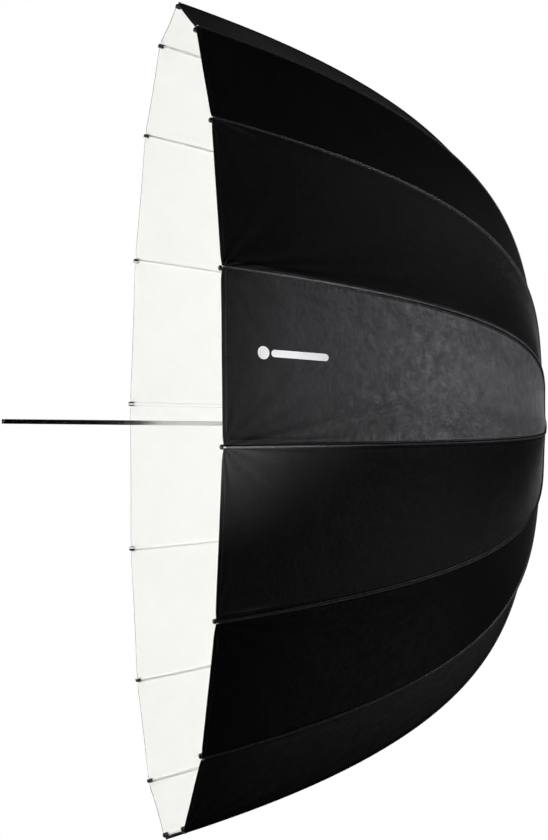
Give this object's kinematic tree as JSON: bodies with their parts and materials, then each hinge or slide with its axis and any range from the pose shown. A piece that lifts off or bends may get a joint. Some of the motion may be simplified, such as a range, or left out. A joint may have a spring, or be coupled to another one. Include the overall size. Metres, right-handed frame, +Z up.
{
  "type": "umbrella reflector",
  "caption": "Deep ribbed studio umbrella reflector on a round shaft, black outside and white inside, with a folding rib and stretcher frame.",
  "frame": {"origin": "on the shaft's axis, 60 mm from its free end, where a lamp head's umbrella holder clamps it", "axes": "+X along the shaft towards the crown, so the bowl opens towards -X; +Z up, with rib 01 3.2 degrees from +Z towards -Y"},
  "size_m": [0.8233, 1.248, 1.248],
  "materials": {
    "cloth_black": "satin",
    "lining_white": "matte",
    "shaft_steel": "polished",
    "steel_wire": "satin",
    "rib_fibre": "satin",
    "cast_zinc": "satin",
    "black_plastic": "satin",
    "cap_grey": "satin"
  },
  "bodies": {
    "root": {"shaft_tube": "shaft_steel", "shaft_end_plug": "black_plastic", "crown_hub": "cast_zinc", "crown_hinge_ring": "steel_wire", "crown_pin": "steel_wire", "crown_cap": "cap_grey", "catch_pin": "steel_wire", "canopy": "cloth_black"},
    "runner": {"runner_hub": "cast_zinc", "runner_hinge_ring": "steel_wire", "runner_sleeve": "black_plastic"},
    "catch": {"catch_spring": "steel_wire"},
    "rib_inner_01": {"rib_inner_01": "rib_fibre"},
    "rib_outer_01": {"rib_outer_01": "rib_fibre"},
    "stretcher_01": {"stretcher_01": "steel_wire"},
    "rib_inner_02": {"rib_inner_02": "rib_fibre"},
    "rib_outer_02": {"rib_outer_02": "rib_fibre"},
    "stretcher_02": {"stretcher_02": "steel_wire"},
    "rib_inner_03": {"rib_inner_03": "rib_fibre"},
    "rib_outer_03": {"rib_outer_03": "rib_fibre"},
    "stretcher_03": {"stretcher_03": "steel_wire"},
    "rib_inner_04": {"rib_inner_04": "rib_fibre"},
    "rib_outer_04": {"rib_outer_04": "rib_fibre"},
    "stretcher_04": {"stretcher_04": "steel_wire"},
    "rib_inner_05": {"rib_inner_05": "rib_fibre"},
    "rib_outer_05": {"rib_outer_05": "rib_fibre"},
    "stretcher_05": {"stretcher_05": "steel_wire"},
    "rib_inner_06": {"rib_inner_06": "rib_fibre"},
    "rib_outer_06": {"rib_outer_06": "rib_fibre"},
    "stretcher_06": {"stretcher_06": "steel_wire"},
    "rib_inner_07": {"rib_inner_07": "rib_fibre"},
    "rib_outer_07": {"rib_outer_07": "rib_fibre"},
    "stretcher_07": {"stretcher_07": "steel_wire"},
    "rib_inner_08": {"rib_inner_08": "rib_fibre"},
    "rib_outer_08": {"rib_outer_08": "rib_fibre"},
    "stretcher_08": {"stretcher_08": "steel_wire"},
    "rib_inner_09": {"rib_inner_09": "rib_fibre"},
    "rib_outer_09": {"rib_outer_09": "rib_fibre"},
    "stretcher_09": {"stretcher_09": "steel_wire"},
    "rib_inner_10": {"rib_inner_10": "rib_fibre"},
    "rib_outer_10": {"rib_outer_10": "rib_fibre"},
    "stretcher_10": {"stretcher_10": "steel_wire"},
    "rib_inner_11": {"rib_inner_11": "rib_fibre"},
    "rib_outer_11": {"rib_outer_11": "rib_fibre"},
    "stretcher_11": {"stretcher_11": "steel_wire"},
    "rib_inner_12": {"rib_inner_12": "rib_fibre"},
    "rib_outer_12": {"rib_outer_12": "rib_fibre"},
    "stretcher_12": {"stretcher_12": "steel_wire"},
    "rib_inner_13": {"rib_inner_13": "rib_fibre"},
    "rib_outer_13": {"rib_outer_13": "rib_fibre"},
    "stretcher_13": {"stretcher_13": "steel_wire"},
    "rib_inner_14": {"rib_inner_14": "rib_fibre"},
    "rib_outer_14": {"rib_outer_14": "rib_fibre"},
    "stretcher_14": {"stretcher_14": "steel_wire"},
    "rib_inner_15": {"rib_inner_15": "rib_fibre"},
    "rib_outer_15": {"rib_outer_15": "rib_fibre"},
    "stretcher_15": {"stretcher_15": "steel_wire"},
    "rib_inner_16": {"rib_inner_16": "rib_fibre"},
    "rib_outer_16": {"rib_outer_16": "rib_fibre"},
    "stretcher_16": {"stretcher_16": "steel_wire"}
  },
  "joints": [
    {"name": "fold", "type": "hinge", "parent": "root", "child": "rib_inner_01", "pos_m": [0.75369, -0.00101, 0.01797], "axis": [0, -0.9984, -0.0558], "range_deg": [0, 69.2], "deforming": ["canopy", "catch_spring"]},
    {"name": "elbow_01", "type": "hinge", "parent": "rib_inner_01", "child": "rib_outer_01", "pos_m": [0.63444, -0.02086, 0.37314], "axis": [0, -0.9984, -0.0558], "range_deg": [-40.6, 0]},
    {"name": "clip_hinge_01", "type": "hinge", "parent": "rib_inner_01", "child": "stretcher_01", "pos_m": [0.62896, -0.02062, 0.3688], "axis": [0, -0.9984, -0.0558], "range_deg": [-138.4, 0]},
    {"name": "crown_hinge_02", "type": "hinge", "parent": "root", "child": "rib_inner_02", "pos_m": [0.75369, -0.00781, 0.01622], "axis": [0, -0.9011, -0.4337], "range_deg": [0, 69.2]},
    {"name": "elbow_02", "type": "hinge", "parent": "rib_inner_02", "child": "rib_outer_02", "pos_m": [0.63444, -0.16207, 0.33676], "axis": [0, -0.9011, -0.4337], "range_deg": [-40.6, 0]},
    {"name": "clip_hinge_02", "type": "hinge", "parent": "rib_inner_02", "child": "stretcher_02", "pos_m": [0.62896, -0.16018, 0.33284], "axis": [0, -0.9011, -0.4337], "range_deg": [-138.4, 0]},
    {"name": "crown_hinge_03", "type": "hinge", "parent": "root", "child": "rib_inner_03", "pos_m": [0.75369, -0.01342, 0.012], "axis": [0, -0.6665, -0.7455], "range_deg": [0, 69.2]},
    {"name": "elbow_03", "type": "hinge", "parent": "rib_inner_03", "child": "rib_outer_03", "pos_m": [0.63444, -0.2786, 0.2491], "axis": [0, -0.6665, -0.7455], "range_deg": [-40.6, 0]},
    {"name": "clip_hinge_03", "type": "hinge", "parent": "rib_inner_03", "child": "stretcher_03", "pos_m": [0.62896, -0.27536, 0.2462], "axis": [0, -0.6665, -0.7455], "range_deg": [-138.4, 0]},
    {"name": "crown_hinge_04", "type": "hinge", "parent": "root", "child": "rib_inner_04", "pos_m": [0.75369, -0.01699, 0.00595], "axis": [0, -0.3305, -0.9438], "range_deg": [0, 69.2]},
    {"name": "elbow_04", "type": "hinge", "parent": "rib_inner_04", "child": "rib_outer_04", "pos_m": [0.63444, -0.35272, 0.12352], "axis": [0, -0.3305, -0.9438], "range_deg": [-40.6, 0]},
    {"name": "clip_hinge_04", "type": "hinge", "parent": "rib_inner_04", "child": "stretcher_04", "pos_m": [0.62896, -0.34862, 0.12208], "axis": [0, -0.3305, -0.9438], "range_deg": [-138.4, 0]},
    {"name": "crown_hinge_05", "type": "hinge", "parent": "root", "child": "rib_inner_05", "pos_m": [0.75369, -0.01797, -0.00101], "axis": [0, 0.0558, -0.9984], "range_deg": [0, 69.2]},
    {"name": "elbow_05", "type": "hinge", "parent": "rib_inner_05", "child": "rib_outer_05", "pos_m": [0.63444, -0.37314, -0.02086], "axis": [0, 0.0558, -0.9984], "range_deg": [-40.6, 0]},
    {"name": "clip_hinge_05", "type": "hinge", "parent": "rib_inner_05", "child": "stretcher_05", "pos_m": [0.62896, -0.3688, -0.02062], "axis": [0, 0.0558, -0.9984], "range_deg": [-138.4, 0]},
    {"name": "crown_hinge_06", "type": "hinge", "parent": "root", "child": "rib_inner_06", "pos_m": [0.75369, -0.01622, -0.00781], "axis": [0, 0.4337, -0.9011], "range_deg": [0, 69.2]},
    {"name": "elbow_06", "type": "hinge", "parent": "rib_inner_06", "child": "rib_outer_06", "pos_m": [0.63444, -0.33676, -0.16207], "axis": [0, 0.4337, -0.9011], "range_deg": [-40.6, 0]},
    {"name": "clip_hinge_06", "type": "hinge", "parent": "rib_inner_06", "child": "stretcher_06", "pos_m": [0.62896, -0.33284, -0.16018], "axis": [0, 0.4337, -0.9011], "range_deg": [-138.4, 0]},
    {"name": "crown_hinge_07", "type": "hinge", "parent": "root", "child": "rib_inner_07", "pos_m": [0.75369, -0.012, -0.01342], "axis": [0, 0.7455, -0.6665], "range_deg": [0, 69.2]},
    {"name": "elbow_07", "type": "hinge", "parent": "rib_inner_07", "child": "rib_outer_07", "pos_m": [0.63444, -0.2491, -0.2786], "axis": [0, 0.7455, -0.6665], "range_deg": [-40.6, 0]},
    {"name": "clip_hinge_07", "type": "hinge", "parent": "rib_inner_07", "child": "stretcher_07", "pos_m": [0.62896, -0.2462, -0.27536], "axis": [0, 0.7455, -0.6665], "range_deg": [-138.4, 0]},
    {"name": "crown_hinge_08", "type": "hinge", "parent": "root", "child": "rib_inner_08", "pos_m": [0.75369, -0.00595, -0.01699], "axis": [0, 0.9438, -0.3305], "range_deg": [0, 69.2]},
    {"name": "elbow_08", "type": "hinge", "parent": "rib_inner_08", "child": "rib_outer_08", "pos_m": [0.63444, -0.12352, -0.35272], "axis": [0, 0.9438, -0.3305], "range_deg": [-40.6, 0]},
    {"name": "clip_hinge_08", "type": "hinge", "parent": "rib_inner_08", "child": "stretcher_08", "pos_m": [0.62896, -0.12208, -0.34862], "axis": [0, 0.9438, -0.3305], "range_deg": [-138.4, 0]},
    {"name": "crown_hinge_09", "type": "hinge", "parent": "root", "child": "rib_inner_09", "pos_m": [0.75369, 0.00101, -0.01797], "axis": [0, 0.9984, 0.0558], "range_deg": [0, 69.2]},
    {"name": "elbow_09", "type": "hinge", "parent": "rib_inner_09", "child": "rib_outer_09", "pos_m": [0.63444, 0.02086, -0.37314], "axis": [0, 0.9984, 0.0558], "range_deg": [-40.6, 0]},
    {"name": "clip_hinge_09", "type": "hinge", "parent": "rib_inner_09", "child": "stretcher_09", "pos_m": [0.62896, 0.02062, -0.3688], "axis": [0, 0.9984, 0.0558], "range_deg": [-138.4, 0]},
    {"name": "crown_hinge_10", "type": "hinge", "parent": "root", "child": "rib_inner_10", "pos_m": [0.75369, 0.00781, -0.01622], "axis": [0, 0.9011, 0.4337], "range_deg": [0, 69.2]},
    {"name": "elbow_10", "type": "hinge", "parent": "rib_inner_10", "child": "rib_outer_10", "pos_m": [0.63444, 0.16207, -0.33676], "axis": [0, 0.9011, 0.4337], "range_deg": [-40.6, 0]},
    {"name": "clip_hinge_10", "type": "hinge", "parent": "rib_inner_10", "child": "stretcher_10", "pos_m": [0.62896, 0.16018, -0.33284], "axis": [0, 0.9011, 0.4337], "range_deg": [-138.4, 0]},
    {"name": "crown_hinge_11", "type": "hinge", "parent": "root", "child": "rib_inner_11", "pos_m": [0.75369, 0.01342, -0.012], "axis": [0, 0.6665, 0.7455], "range_deg": [0, 69.2]},
    {"name": "elbow_11", "type": "hinge", "parent": "rib_inner_11", "child": "rib_outer_11", "pos_m": [0.63444, 0.2786, -0.2491], "axis": [0, 0.6665, 0.7455], "range_deg": [-40.6, 0]},
    {"name": "clip_hinge_11", "type": "hinge", "parent": "rib_inner_11", "child": "stretcher_11", "pos_m": [0.62896, 0.27536, -0.2462], "axis": [0, 0.6665, 0.7455], "range_deg": [-138.4, 0]},
    {"name": "crown_hinge_12", "type": "hinge", "parent": "root", "child": "rib_inner_12", "pos_m": [0.75369, 0.01699, -0.00595], "axis": [0, 0.3305, 0.9438], "range_deg": [0, 69.2]},
    {"name": "elbow_12", "type": "hinge", "parent": "rib_inner_12", "child": "rib_outer_12", "pos_m": [0.63444, 0.35272, -0.12352], "axis": [0, 0.3305, 0.9438], "range_deg": [-40.6, 0]},
    {"name": "clip_hinge_12", "type": "hinge", "parent": "rib_inner_12", "child": "stretcher_12", "pos_m": [0.62896, 0.34862, -0.12208], "axis": [0, 0.3305, 0.9438], "range_deg": [-138.4, 0]},
    {"name": "crown_hinge_13", "type": "hinge", "parent": "root", "child": "rib_inner_13", "pos_m": [0.75369, 0.01797, 0.00101], "axis": [0, -0.0558, 0.9984], "range_deg": [0, 69.2]},
    {"name": "elbow_13", "type": "hinge", "parent": "rib_inner_13", "child": "rib_outer_13", "pos_m": [0.63444, 0.37314, 0.02086], "axis": [0, -0.0558, 0.9984], "range_deg": [-40.6, 0]},
    {"name": "clip_hinge_13", "type": "hinge", "parent": "rib_inner_13", "child": "stretcher_13", "pos_m": [0.62896, 0.3688, 0.02062], "axis": [0, -0.0558, 0.9984], "range_deg": [-138.4, 0]},
    {"name": "crown_hinge_14", "type": "hinge", "parent": "root", "child": "rib_inner_14", "pos_m": [0.75369, 0.01622, 0.00781], "axis": [0, -0.4337, 0.9011], "range_deg": [0, 69.2]},
    {"name": "elbow_14", "type": "hinge", "parent": "rib_inner_14", "child": "rib_outer_14", "pos_m": [0.63444, 0.33676, 0.16207], "axis": [0, -0.4337, 0.9011], "range_deg": [-40.6, 0]},
    {"name": "clip_hinge_14", "type": "hinge", "parent": "rib_inner_14", "child": "stretcher_14", "pos_m": [0.62896, 0.33284, 0.16018], "axis": [0, -0.4337, 0.9011], "range_deg": [-138.4, 0]},
    {"name": "crown_hinge_15", "type": "hinge", "parent": "root", "child": "rib_inner_15", "pos_m": [0.75369, 0.012, 0.01342], "axis": [0, -0.7455, 0.6665], "range_deg": [0, 69.2]},
    {"name": "elbow_15", "type": "hinge", "parent": "rib_inner_15", "child": "rib_outer_15", "pos_m": [0.63444, 0.2491, 0.2786], "axis": [0, -0.7455, 0.6665], "range_deg": [-40.6, 0]},
    {"name": "clip_hinge_15", "type": "hinge", "parent": "rib_inner_15", "child": "stretcher_15", "pos_m": [0.62896, 0.2462, 0.27536], "axis": [0, -0.7455, 0.6665], "range_deg": [-138.4, 0]},
    {"name": "crown_hinge_16", "type": "hinge", "parent": "root", "child": "rib_inner_16", "pos_m": [0.75369, 0.00595, 0.01699], "axis": [0, -0.9438, 0.3305], "range_deg": [0, 69.2]},
    {"name": "elbow_16", "type": "hinge", "parent": "rib_inner_16", "child": "rib_outer_16", "pos_m": [0.63444, 0.12352, 0.35272], "axis": [0, -0.9438, 0.3305], "range_deg": [-40.6, 0]},
    {"name": "clip_hinge_16", "type": "hinge", "parent": "rib_inner_16", "child": "stretcher_16", "pos_m": [0.62896, 0.12208, 0.34862], "axis": [0, -0.9438, 0.3305], "range_deg": [-138.4, 0]},
    {"name": "runner_hinge", "type": "hinge", "parent": "stretcher_01", "child": "runner", "pos_m": [0.50422, -0.00101, 0.01797], "axis": [0, -0.9984, -0.0558], "range_deg": [0, 69.2]},
    {"name": "catch_press", "type": "hinge", "parent": "root", "child": "catch", "pos_m": [0.42322, 0, 0], "axis": [0, 1, 0], "range_deg": [0, 3], "stiffness_Nm_per_rad": 0.6, "springref_deg": -8.59}
  ],
  "couplings": [
    {"joint": "elbow_01", "follows": "fold", "ratio": -0.586},
    {"joint": "clip_hinge_01", "follows": "fold", "ratio": -2},
    {"joint": "crown_hinge_02", "follows": "fold", "ratio": 1},
    {"joint": "elbow_02", "follows": "fold", "ratio": -0.586},
    {"joint": "clip_hinge_02", "follows": "fold", "ratio": -2},
    {"joint": "crown_hinge_03", "follows": "fold", "ratio": 1},
    {"joint": "elbow_03", "follows": "fold", "ratio": -0.586},
    {"joint": "clip_hinge_03", "follows": "fold", "ratio": -2},
    {"joint": "crown_hinge_04", "follows": "fold", "ratio": 1},
    {"joint": "elbow_04", "follows": "fold", "ratio": -0.586},
    {"joint": "clip_hinge_04", "follows": "fold", "ratio": -2},
    {"joint": "crown_hinge_05", "follows": "fold", "ratio": 1},
    {"joint": "elbow_05", "follows": "fold", "ratio": -0.586},
    {"joint": "clip_hinge_05", "follows": "fold", "ratio": -2},
    {"joint": "crown_hinge_06", "follows": "fold", "ratio": 1},
    {"joint": "elbow_06", "follows": "fold", "ratio": -0.586},
    {"joint": "clip_hinge_06", "follows": "fold", "ratio": -2},
    {"joint": "crown_hinge_07", "follows": "fold", "ratio": 1},
    {"joint": "elbow_07", "follows": "fold", "ratio": -0.586},
    {"joint": "clip_hinge_07", "follows": "fold", "ratio": -2},
    {"joint": "crown_hinge_08", "follows": "fold", "ratio": 1},
    {"joint": "elbow_08", "follows": "fold", "ratio": -0.586},
    {"joint": "clip_hinge_08", "follows": "fold", "ratio": -2},
    {"joint": "crown_hinge_09", "follows": "fold", "ratio": 1},
    {"joint": "elbow_09", "follows": "fold", "ratio": -0.586},
    {"joint": "clip_hinge_09", "follows": "fold", "ratio": -2},
    {"joint": "crown_hinge_10", "follows": "fold", "ratio": 1},
    {"joint": "elbow_10", "follows": "fold", "ratio": -0.586},
    {"joint": "clip_hinge_10", "follows": "fold", "ratio": -2},
    {"joint": "crown_hinge_11", "follows": "fold", "ratio": 1},
    {"joint": "elbow_11", "follows": "fold", "ratio": -0.586},
    {"joint": "clip_hinge_11", "follows": "fold", "ratio": -2},
    {"joint": "crown_hinge_12", "follows": "fold", "ratio": 1},
    {"joint": "elbow_12", "follows": "fold", "ratio": -0.586},
    {"joint": "clip_hinge_12", "follows": "fold", "ratio": -2},
    {"joint": "crown_hinge_13", "follows": "fold", "ratio": 1},
    {"joint": "elbow_13", "follows": "fold", "ratio": -0.586},
    {"joint": "clip_hinge_13", "follows": "fold", "ratio": -2},
    {"joint": "crown_hinge_14", "follows": "fold", "ratio": 1},
    {"joint": "elbow_14", "follows": "fold", "ratio": -0.586},
    {"joint": "clip_hinge_14", "follows": "fold", "ratio": -2},
    {"joint": "crown_hinge_15", "follows": "fold", "ratio": 1},
    {"joint": "elbow_15", "follows": "fold", "ratio": -0.586},
    {"joint": "clip_hinge_15", "follows": "fold", "ratio": -2},
    {"joint": "crown_hinge_16", "follows": "fold", "ratio": 1},
    {"joint": "elbow_16", "follows": "fold", "ratio": -0.586},
    {"joint": "clip_hinge_16", "follows": "fold", "ratio": -2},
    {"joint": "runner_hinge", "follows": "fold", "ratio": 1}
  ]
}
